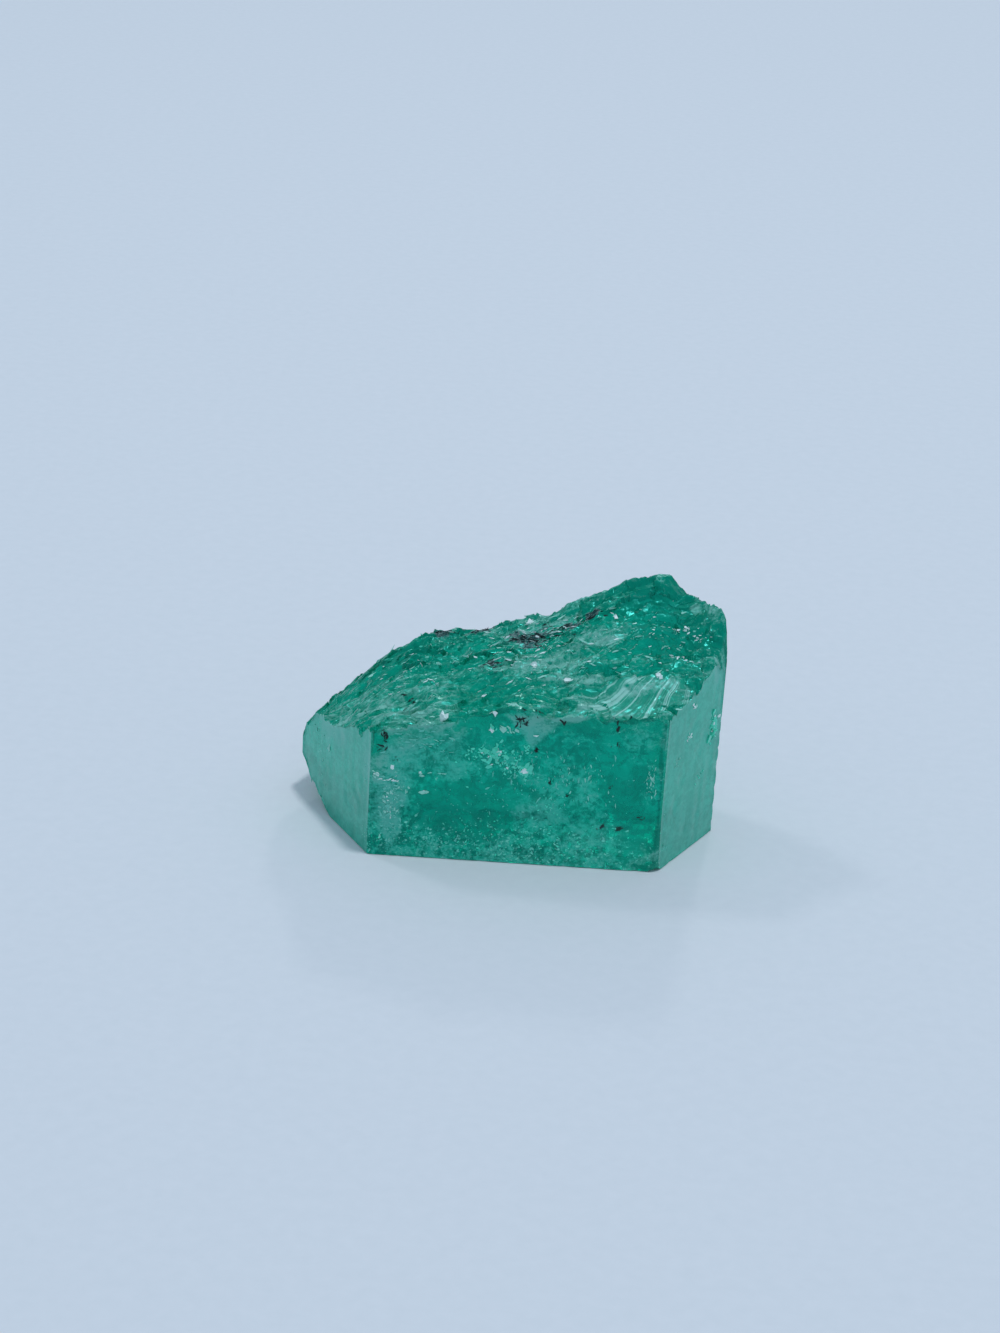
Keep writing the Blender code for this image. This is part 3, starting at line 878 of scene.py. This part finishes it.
def make_emerald():
    """Clear green stone under veils, pale ribs, flakes and rock."""
    material, tree, shader = new_finish("emerald")
    at = read_skin(tree)
    veil, flakes, dark = veil_of(tree, at), flakes_and_sparkle_of(tree, at), rock_of(tree, at)
    pale_ribs = times(tree, at["fan"], spread(tree, at["ribs"], 0.0, 1.0, 0.12, 0.88))
    rock = blend(tree, spread(tree, at["tiny"], 0.42, 0.62), ROCK_DARK, ROCK_PALE)

    colour = blend(tree, veil, green_of(tree, at), blend(tree, at["crown"], CLOUD_GREEN, CLOUD_GREY))
    # The pale dots laid over the green are in part painted sparkle.
    for share, paint in ((pale_ribs, PALE_GREEN), (flakes, FLAKE_AND_SPARKLE_PALE), (dark, rock)):
        colour = blend(tree, share, colour, paint)
    tree.links.new(colour, shader.inputs["Base Color"])

    hidden = times(tree, sums(tree, "MAXIMUM", veil, pale_ribs), HIDDEN_BY_VEIL)
    hidden = sums(tree, "MAXIMUM", sums(tree, "MAXIMUM", hidden, flakes), dark)
    through = spread(tree, at["break"], 0.0, 1.0, CLEAR_ON_WALLS, CLEAR_ON_BREAK)
    tree.links.new(sums(tree, "SUBTRACT", through, hidden, clamp=True), shader.inputs["Transmission Weight"])
    rough = total_of(tree, POLISH, times(tree, veil, 0.15), times(tree, dark, 0.3))
    tree.links.new(rough, shader.inputs["Roughness"])
    shader.inputs["IOR"].default_value = REFRACTION
    shader.inputs["Specular Tint"].default_value = REFLECTION_TINT

    relief = times(tree, at["fine"], spread(tree, at["break"], 0.0, 1.0, 0.12, 1.0))
    bump = add(tree, "Bump", {"Height": relief, "Strength": 0.5, "Distance": RELIEF_DEPTH})
    tree.links.new(bump.outputs[0], shader.inputs["Normal"])

    absorb = add(tree, "VolumeAbsorption", {"Color": ABSORBED, "Density": ABSORPTION})
    tree.links.new(absorb.outputs[0], tree.nodes["Material Output"].inputs["Volume"])
    return material


emerald = make_emerald()
crystal.data.materials.clear()
crystal.data.materials.append(emerald)
for face in crystal.data.polygons:
    face.material_index = 0
print("Emerald nodes:", len(emerald.node_tree.nodes))

# %% Put the crystal in the frame
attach(crystal, "root")
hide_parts("emerald_crystal")
print("Finish of the crystal:", crystal.data.materials[0].name)

# %% [markdown]
# ## Flakes and specks
# Where a small healed crack or a splinter faces the light, it flashes like a flake of glass, and the black
# specks are crooked little crystals of mica. A bright dot in the finish would flash from every side, so
# these are real chips. One five-cornered chip is modelled. Copies of it, each bent, stretched and
# turned its own way, are strewn over the skin and joined into one mesh for each finish.
# The bright colours of the white, pale and mint chips paint glints and sparkle; their gloss adds real
# flashes.

# %% Model one chip
CHIP_CORNERS = 5
CHIP_THICKNESS = 0.16

bpy.ops.object.select_all(action="DESELECT")
bpy.ops.mesh.primitive_cylinder_add(vertices=CHIP_CORNERS, radius=0.5, depth=CHIP_THICKNESS)
chip = bpy.context.active_object
chip_points = np.array([vert.co[:] for vert in chip.data.vertices])
chip_faces = [list(face.vertices) for face in chip.data.polygons]
bpy.data.objects.remove(chip)
print("Corners of one chip:", len(chip_points))

# %% Say how chips are strewn over the skin
CHIP_SPREAD = 0.45
CHIP_TILT = 0.50
CHIP_BEND = 0.16
CHIP_STANDS = 0.10
CHIP_ASTRAY = 1.2 * MM
CHIP_LEAST_HEIGHT = 0.1 * MM
CHIP_SMALLNESS = 1.5
CROOKED = 0.24
LEVEL_ABOVE = 0.4
FLATWISE = (1, 1, 0)

draw = random.Random(SEED)


def chip_axes(normal, heading):
    """The ways along, across and out of a chip that lies on the skin, turned and leaning by chance."""
    turn = draw.uniform(0, math.pi) if heading is None else heading + draw.gauss(0, CROOKED)
    flat = Vector((1, 0, 0)) if abs(normal.z) > LEVEL_ABOVE else Vector((-normal.y, normal.x, 0))
    flat = (flat - normal * flat.dot(normal)).normalized()
    along = Matrix.Rotation(turn, 3, normal) @ flat
    lean = Matrix.Rotation(draw.gauss(0, CHIP_TILT), 3, along)
    return along, lean @ normal.cross(along), lean @ normal


def bent_chip():
    """The chip's points, each corner pushed its own way, with the top still over the foot."""
    pushes = np.reshape([draw.gauss(0, CHIP_BEND) for number in range(chip_points.size)], chip_points.shape)
    bent = chip_points + pushes * FLATWISE
    bent[1::2, :2] = bent[0::2, :2]
    return bent


def strew(name, places, finish):
    """Strews chips over places: middle, reach, how many, least and most length, slimness and heading."""
    points, faces = [], []
    for middle, reach, count, (least, most), slim, heading in places:
        for number in range(count):
            spot = Vector([(at + draw.gauss(0, CHIP_SPREAD) * far) * MM for at, far in zip(middle, reach)])
            near, normal = crystal.closest_point_on_mesh(spot)[1:3]
            if (near - spot).length > CHIP_ASTRAY or near.z < CHIP_LEAST_HEIGHT:
                continue
            along, across, up = chip_axes(normal, heading)
            length = least * (most / least) ** (draw.random() ** CHIP_SMALLNESS) * MM
            width = length * slim
            sides = np.array([along * length, across * width, up * width])
            faces += [[corner + len(chip_points) * len(points) for corner in face] for face in chip_faces]
            points.append(bent_chip() @ sides + np.array(near + normal * width * CHIP_STANDS))
    mesh = bpy.data.meshes.new(name)
    mesh.from_pydata(np.concatenate(points).tolist(), [], faces)
    obj = bpy.data.objects.new(name, mesh)
    bpy.context.scene.collection.objects.link(obj)
    mesh.materials.append(finish)
    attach(obj, "root")
    print(name, "chips:", len(points))


def plain_finish(name, colour, roughness, shine):
    """A finish of one colour all over."""
    material, tree, shader = new_finish(name)
    shader.inputs["Base Color"].default_value = colour
    shader.inputs["Roughness"].default_value = roughness
    shader.inputs["Specular IOR Level"].default_value = shine
    return material


# %% Strew the white flakes, painted glints: middle, reach, how many, lengths, slimness and heading
ALONG = HACKLE_HEADING
UP = math.radians(90)
WHITE_GLINT_FLAKES = [
    ((-2.22, -2.97, 5.11), (0.04, 0.04, 0.04), 3, (0.26, 0.36), 0.9, None),
    ((0.44, 1.62, 6.9), (0.1, 0.06, 0.05), 6, (0.18, 0.34), 0.7, ALONG),
    ((0.72, -0.67, 6.24), (0.12, 0.08, 0.05), 4, (0.1, 0.24), 0.5, ALONG),
    ((-2.76, -0.81, 5.47), (0.14, 0.08, 0.05), 4, (0.1, 0.22), 0.5, ALONG),
    ((0.9, 0.9, 6.75), (1.5, 0.6, 0.2), 26, (0.06, 0.26), 0.3, ALONG),
    ((2.2, 1.1, 7.15), (1.6, 0.6, 0.3), 26, (0.06, 0.3), 0.24, ALONG),
    ((3.37, 0.9, 7.61), (0.05, 0.05, 0.05), 2, (0.14, 0.22), 0.9, ALONG),
    ((1.89, -1.42, 6.07), (0.12, 0.08, 0.08), 5, (0.12, 0.3), 0.7, ALONG),
    ((4.84, -1.47, 6.52), (0.12, 0.08, 0.08), 4, (0.12, 0.2), 0.9, ALONG),
    ((5.4, 0.53, 7.28), (0.3, 0.1, 0.15), 16, (0.05, 0.22), 0.5, ALONG),
    ((5.84, 0.67, 7.32), (0.3, 0.1, 0.15), 13, (0.05, 0.17), 0.5, ALONG),
    ((6.25, 0.3, 7.21), (0.3, 0.1, 0.15), 13, (0.05, 0.17), 0.5, ALONG),
    ((5.45, -0.49, 6.83), (0.35, 0.1, 0.15), 11, (0.05, 0.16), 0.5, ALONG),
    ((5.92, -0.53, 6.74), (0.35, 0.1, 0.15), 12, (0.05, 0.17), 0.5, ALONG),
    ((6.28, -0.69, 6.46), (0.2, 0.1, 0.15), 4, (0.08, 0.18), 0.6, ALONG),
    ((0.8, 0.2, 6.6), (3.2, 2.8, 1.2), 230, (0.04, 0.24), 0.26, ALONG),
    ((-3.2, 0.0, 5.2), (2.6, 2.8, 1.2), 110, (0.04, 0.2), 0.28, ALONG),
    ((4.2, 0.2, 7.1), (2.2, 2.6, 1.0), 80, (0.03, 0.15), 0.3, ALONG),
    ((-0.55, -3.18, 5.47), (0.08, 0.05, 0.06), 4, (0.12, 0.24), 0.6, None),
    ((1.0, -3.2, 4.75), (0.2, 0.05, 0.06), 2, (0.1, 0.18), 0.4, ALONG),
    ((-3.8, -3.2, 3.25), (0.05, 0.05, 0.12), 6, (0.06, 0.18), 0.6, UP),
    ((-4.35, -3.2, 3.00), (0.1, 0.05, 0.08), 4, (0.05, 0.13), 0.8, None),
    ((-3.95, -3.2, 2.8), (0.45, 0.05, 0.04), 14, (0.05, 0.16), 0.5, 0.0),
    ((-2.65, -3.2, 2.45), (0.14, 0.05, 0.05), 4, (0.06, 0.14), 0.6, None),
    ((-2.85, -3.2, 3.12), (0.06, 0.05, 0.06), 3, (0.06, 0.13), 0.8, None),
    ((-3.85, -3.2, 2.00), (0.25, 0.05, 0.95), 9, (0.04, 0.12), 0.6, None),
    ((-0.57, -3.2, 4.93), (0.08, 0.05, 0.1), 6, (0.08, 0.2), 0.7, None),
    ((-0.3, -3.2, 4.1), (0.12, 0.05, 0.12), 6, (0.08, 0.2), 0.6, None),
    ((0.64, -3.2, 3.5), (0.08, 0.05, 0.08), 8, (0.16, 0.28), 0.7, None),
    ((-0.3, -3.2, 3.8), (0.6, 0.05, 0.45), 14, (0.04, 0.11), 0.8, None),
    ((6.96, -0.25, 4.15), (0.12, 0.2, 0.4), 22, (0.08, 0.22), 0.8, None),
    ((6.08, -1.77, 4.42), (0.2, 0.25, 0.15), 7, (0.08, 0.18), 0.7, None),
    ((6.17, -1.63, 5.47), (0.15, 0.2, 0.15), 4, (0.08, 0.18), 0.7, None),
    ((0.0, 3.2, 2.8), (9.0, 0.05, 4.0), 26, (0.04, 0.14), 0.6, None),
]
# Painted glints: the white chips stand for light flashing off splinters of the break and for bright sparkle
# in the walls; their gloss flashes for real as well.
strew("white_glint_flakes", WHITE_GLINT_FLAKES, plain_finish("white_glint_flakes", (0.84, 1.0, 0.95, 1), 0.35, 1.0))

# %% Strew the pale flakes, on the break painted glints
PALE_FLAKES_AND_GLINTS = [
    ((-2.56, -1.68, 5.28), (0.1, 0.1, 0.1), 3, (0.1, 0.2), 0.6, ALONG),
    ((0.8, 0.2, 6.6), (3.4, 2.8, 1.2), 300, (0.06, 0.34), 0.24, ALONG),
    ((-3.2, 0.0, 5.2), (2.6, 2.8, 1.2), 160, (0.06, 0.3), 0.24, ALONG),
    ((4.2, 0.2, 7.0), (2.2, 2.6, 1.0), 150, (0.06, 0.28), 0.24, ALONG),
    ((-1.3, 2.0, 6.3), (2.2, 0.4, 0.5), 30, (0.08, 0.3), 0.35, ALONG),
    ((0.12, -2.9, 5.55), (0.34, 0.15, 0.12), 18, (0.14, 0.36), 0.8, None),
    ((-0.05, -3.2, 4.95), (0.3, 0.05, 0.12), 10, (0.08, 0.22), 0.6, -0.7),
    ((-4.35, -3.2, 3.00), (0.18, 0.05, 0.14), 10, (0.06, 0.18), 0.7, None),
    ((-3.35, -3.2, 2.5), (0.2, 0.05, 0.14), 6, (0.08, 0.18), 0.7, None),
    ((-2.65, -3.2, 2.45), (0.12, 0.05, 0.05), 3, (0.1, 0.26), 0.5, 0.0),
    ((-2.85, -3.2, 3.1), (0.08, 0.05, 0.08), 3, (0.1, 0.16), 0.8, None),
    ((-3.85, -3.2, 1.9), (0.34, 0.05, 1.1), 40, (0.04, 0.16), 0.6, None),
    ((-2.3, -3.2, 4.12), (0.8, 0.05, 0.3), 8, (0.08, 0.26), 0.22, 0.0),
    ((-2.25, -3.2, 3.18), (0.34, 0.05, 0.03), 4, (0.1, 0.2), 0.2, 0.0),
    ((6.17, -1.63, 5.47), (0.15, 0.2, 0.15), 5, (0.06, 0.14), 0.8, None),
    ((6.08, -1.77, 4.42), (0.2, 0.25, 0.15), 8, (0.06, 0.16), 0.8, None),
    ((5.7, -2.4, 3.8), (0.2, 0.25, 0.25), 9, (0.05, 0.14), 0.7, UP),
    ((-6.48, 0.15, 2.6), (0.8, 1.0, 1.4), 26, (0.05, 0.14), 0.4, UP),
    ((-6.1, -0.4, 2.6), (0.04, 0.05, 0.12), 3, (0.16, 0.3), 0.45, UP),
    ((2.6, -3.2, 3.3), (1.1, 0.05, 0.9), 40, (0.05, 0.2), 0.3, UP),
    ((4.85, -3.2, 3.3), (0.24, 0.05, 0.8), 34, (0.05, 0.18), 0.35, UP),
    ((0.3, -3.2, 0.6), (6.0, 0.05, 0.8), 50, (0.03, 0.1), 0.5, None),
    ((0.0, 3.2, 2.8), (9.0, 0.05, 4.0), 150, (0.03, 0.14), 0.5, None),
]
# In part painted highlight: on the break the pale chips stand for hackle crests catching the light; on the
# growth faces they are pale flecks in the stone.
strew("pale_flakes_and_glints", PALE_FLAKES_AND_GLINTS, plain_finish("pale_flakes_and_glints", (0.30, 0.74, 0.60, 1), 0.35, 0.8))

# %% Strew the soft flakes, which hardly stand out
SOFT_FLAKES = [
    ((0.3, -3.2, 0.6), (6.0, 0.05, 0.8), 300, (0.03, 0.13), 0.5, None),
    ((0.0, -3.2, 2.4), (6.5, 0.05, 3.0), 160, (0.03, 0.13), 0.5, None),
    ((-3.85, -3.2, 1.9), (0.4, 0.05, 1.2), 80, (0.05, 0.2), 0.6, None),
    ((-3.0, -3.2, 4.4), (1.4, 0.05, 0.6), 60, (0.06, 0.26), 0.3, 0.0),
    ((1.2, -3.2, 3.4), (2.4, 0.05, 1.4), 90, (0.05, 0.22), 0.3, UP),
]
strew("soft_flakes", SOFT_FLAKES, plain_finish("soft_flakes", (0.11, 0.60, 0.47, 1), 0.35, 0.8))

# %% Strew the mint flakes, painted sparkle
MINT_SPARKLE_FLAKES = [
    ((-0.57, -3.2, 4.93), (0.16, 0.05, 0.14), 9, (0.1, 0.22), 0.7, None),
    ((-0.5, -3.2, 4.00), (0.5, 0.05, 0.45), 60, (0.08, 0.26), 0.6, None),
    ((0.6, -3.2, 4.25), (0.16, 0.05, 0.14), 9, (0.08, 0.2), 0.7, None),
    ((0.64, -3.2, 3.48), (0.22, 0.05, 0.22), 16, (0.16, 0.32), 0.7, None),
    ((0.25, -3.2, 3.6), (0.6, 0.05, 0.45), 46, (0.05, 0.18), 0.7, None),
    ((-1.2, -3.2, 3.95), (0.6, 0.05, 0.5), 24, (0.04, 0.14), 0.7, None),
    ((1.45, -3.2, 2.1), (0.45, 0.05, 0.5), 16, (0.05, 0.18), 0.6, None),
    ((6.96, -0.25, 4.15), (0.14, 0.24, 0.46), 50, (0.1, 0.3), 0.8, None),
    ((6.7, -0.9, 2.6), (0.25, 0.35, 0.3), 7, (0.06, 0.16), 0.7, None),
    ((1.0, -3.2, 2.4), (3.6, 0.05, 1.6), 60, (0.03, 0.12), 0.5, None),
    ((0.3, -3.2, 0.6), (6.0, 0.05, 0.8), 120, (0.03, 0.12), 0.5, None),
    ((1.0, 0.2, 6.5), (4.0, 2.4, 1.4), 50, (0.06, 0.22), 0.45, ALONG),
    ((0.0, 3.2, 3.0), (9.0, 0.05, 4.0), 120, (0.03, 0.13), 0.5, None),
]
# Painted sparkle: the bright mint colour stands for light flashing back from healed cracks inside; the fine
# chips low on the front are mint flecks.
strew("mint_sparkle_flakes", MINT_SPARKLE_FLAKES, plain_finish("mint_sparkle_flakes", (0.06, 0.78, 0.54, 1), 0.35, 0.8))

# %% Strew the black mica
BLACK_SPECKS = [
    ((-4.1, -3.2, 4.48), (0.1, 0.02, 0.24), 18, (0.08, 0.22), 0.32, None),
    ((-4.18, -3.2, 4.00), (0.16, 0.02, 0.12), 8, (0.08, 0.22), 0.32, None),
    ((-3.7, -3.2, 3.6), (0.14, 0.02, 0.1), 3, (0.05, 0.1), 0.5, None),
    ((0.32, -3.18, 5.36), (0.1, 0.02, 0.08), 7, (0.18, 0.34), 0.2, None),
    ((0.6, -3.18, 5.2), (0.12, 0.02, 0.1), 6, (0.14, 0.28), 0.22, None),
    ((0.46, -3.18, 5.28), (0.44, 0.02, 0.34), 12, (0.05, 0.12), 0.5, None),
    ((0.45, -3.1, 5.62), (0.08, 0.02, 0.1), 6, (0.1, 0.24), 0.42, None),
    ((0.95, -3.05, 5.62), (0.2, 0.02, 0.14), 9, (0.08, 0.18), 0.34, None),
    ((1.76, -3.2, 5.32), (0.08, 0.02, 0.1), 5, (0.1, 0.2), 0.42, None),
    ((0.93, -3.2, 4.27), (0.1, 0.02, 0.08), 7, (0.1, 0.22), 0.42, None),
    ((1.44, -3.2, 3.09), (0.06, 0.02, 0.06), 4, (0.08, 0.17), 0.55, None),
    ((2.07, -3.2, 2.65), (0.06, 0.02, 0.06), 4, (0.08, 0.17), 0.55, None),
    ((3.51, -3.2, 3.05), (0.08, 0.02, 0.08), 4, (0.08, 0.2), 0.42, None),
    ((3.25, -3.2, 1.57), (0.18, 0.02, 0.12), 9, (0.07, 0.22), 0.42, None),
    ((3.89, -3.2, 1.55), (0.1, 0.02, 0.1), 8, (0.09, 0.24), 0.45, None),
    ((3.6, -3.2, 5.3), (0.05, 0.02, 0.22), 4, (0.1, 0.22), 0.4, UP),
    ((3.6, -3.2, 4.6), (0.2, 0.02, 0.25), 5, (0.08, 0.22), 0.3, UP),
    ((4.11, -2.85, 5.5), (0.05, 0.02, 0.12), 5, (0.12, 0.26), 0.4, UP),
    ((4.55, -3.2, 2.00), (0.2, 0.02, 0.1), 4, (0.08, 0.2), 0.4, None),
    ((-3.5, -1.6, 5.15), (0.34, 0.2, 0.15), 14, (0.07, 0.28), 0.32, ALONG),
    ((-2.3, 2.05, 6.1), (0.7, 0.12, 0.1), 24, (0.06, 0.2), 0.3, ALONG),
    ((-0.95, 2.05, 6.4), (0.45, 0.12, 0.15), 22, (0.08, 0.28), 0.3, ALONG),
    ((0.5, 0.85, 6.62), (0.8, 0.34, 0.2), 70, (0.08, 0.34), 0.26, ALONG),
    ((1.7, 0.95, 7.02), (0.9, 0.45, 0.2), 56, (0.06, 0.3), 0.26, ALONG),
    ((-0.6, -0.35, 6.00), (0.7, 0.3, 0.15), 34, (0.07, 0.3), 0.28, ALONG),
    ((2.2, 3.2, 4.4), (0.35, 0.02, 0.3), 10, (0.06, 0.2), 0.35, None),
    ((0.6, 3.2, 1.6), (0.25, 0.02, 0.25), 8, (0.06, 0.18), 0.35, None),
    ((2.7, 1.2, 7.45), (0.6, 0.4, 0.2), 18, (0.06, 0.28), 0.3, ALONG),
    ((-1.6, 3.2, 3.1), (0.3, 0.02, 0.25), 12, (0.06, 0.22), 0.35, None),
]
strew("black_specks", BLACK_SPECKS, plain_finish("black_mica", (0.006, 0.020, 0.018, 1), 0.5, 0.3))

# %% [markdown]
# ## The stage
# The stone stands on a plain sheet of pale paper in soft, slightly blue light from a plain sky. A small lamp
# high above draws the soft shadow. Two more, from the left and from the rear, give the splinters something
# bright to flash back.

# %% Lay the paper
PAPER_SIDE = 2.4
PAPER_DROP = 0.02 * MM
PAPER_DARK = (0.78, 0.80, 0.82, 1)
PAPER_LIGHT = (0.84, 0.85, 0.87, 1)

bpy.ops.object.select_all(action="DESELECT")
bpy.ops.mesh.primitive_plane_add(size=PAPER_SIDE, location=(0, 0, -PAPER_DROP))
paper = bpy.context.active_object
paper.name = "paper"
material, tree, shader = new_finish("paper")
paper_place = place_of(tree)
fibres = grain(tree, stretched(tree, paper_place, (0.5, 0.5, 0.5)), 4.0)
colour = blend(tree, fibres, PAPER_DARK, PAPER_LIGHT)
tree.links.new(colour, shader.inputs["Base Color"])
shader.inputs["Roughness"].default_value = 0.9
shader.inputs["Specular IOR Level"].default_value = 0.2
paper.data.materials.append(material)
print("Paper, in mm:", round(PAPER_SIDE / MM))

# %% Light it
SKY = (0.295, 0.390, 0.505, 1)
# The name, the place, the size, the power and the colour of each lamp.
LAMPS = [
    ("key_lamp", Vector((0.06, -0.02, 0.42)), 0.05, 0.55, (0.88, 0.94, 1.0)),
    ("left_lamp", Vector((-0.24, 0.16, 0.34)), 0.06, 0.14, (0.90, 0.95, 1.0)),
    ("rear_lamp", Vector((0.06, 0.38, 0.22)), 0.04, 0.15, (0.95, 0.97, 1.0)),
]

world = bpy.data.worlds.new("soft_sky")
world.use_nodes = True
world.node_tree.nodes["Background"].inputs["Color"].default_value = SKY
world.node_tree.nodes["Background"].inputs["Strength"].default_value = 1.0
bpy.context.scene.world = world

for name, spot, side, power, colour in LAMPS:
    lamp = bpy.data.lights.new(name, "AREA")
    lamp.shape = "DISK"
    lamp.size = side
    lamp.energy = power
    lamp.color = colour
    holder = bpy.data.objects.new(name, lamp)
    holder.location = spot
    holder.rotation_euler = (-spot).to_track_quat("-Z", "Y").to_euler()
    bpy.context.scene.collection.objects.link(holder)
bpy.context.scene.view_settings.view_transform = "Standard"
print("Lamps:", len(LAMPS))

# %% [markdown]
# ## The camera
# This is a close-up from a little above. A long lens, set well back, keeps the upright edges of the prism
# nearly parallel, and a small roll keeps the view from looking stiff.

# %% Set up the camera
CAMERA_SPOT = Vector((0.293, -86.66, 43.674)) * MM
CAMERA_DOWN = math.radians(23.6)
CAMERA_TURN = math.radians(0.5)
CAMERA_ROLL = math.radians(3.5)
CAMERA_LENS = 75
CAMERA_SENSOR = 36

camera_data = bpy.data.cameras.new("camera")
camera_data.lens = CAMERA_LENS
camera_data.sensor_width = CAMERA_SENSOR
camera_data.clip_start = 1 * MM
camera = bpy.data.objects.new("camera", camera_data)
gaze = Vector((
    -math.sin(CAMERA_TURN) * math.cos(CAMERA_DOWN),
    math.cos(CAMERA_TURN) * math.cos(CAMERA_DOWN),
    -math.sin(CAMERA_DOWN),
))
aim = gaze.to_track_quat("-Z", "Y").to_matrix() @ Matrix.Rotation(CAMERA_ROLL, 3, "Z")
camera.matrix_world = Matrix.Translation(CAMERA_SPOT) @ aim.to_4x4()
bpy.context.scene.collection.objects.link(camera)
bpy.context.scene.camera = camera
print("Camera distance, in mm:", round(CAMERA_SPOT.length / MM))
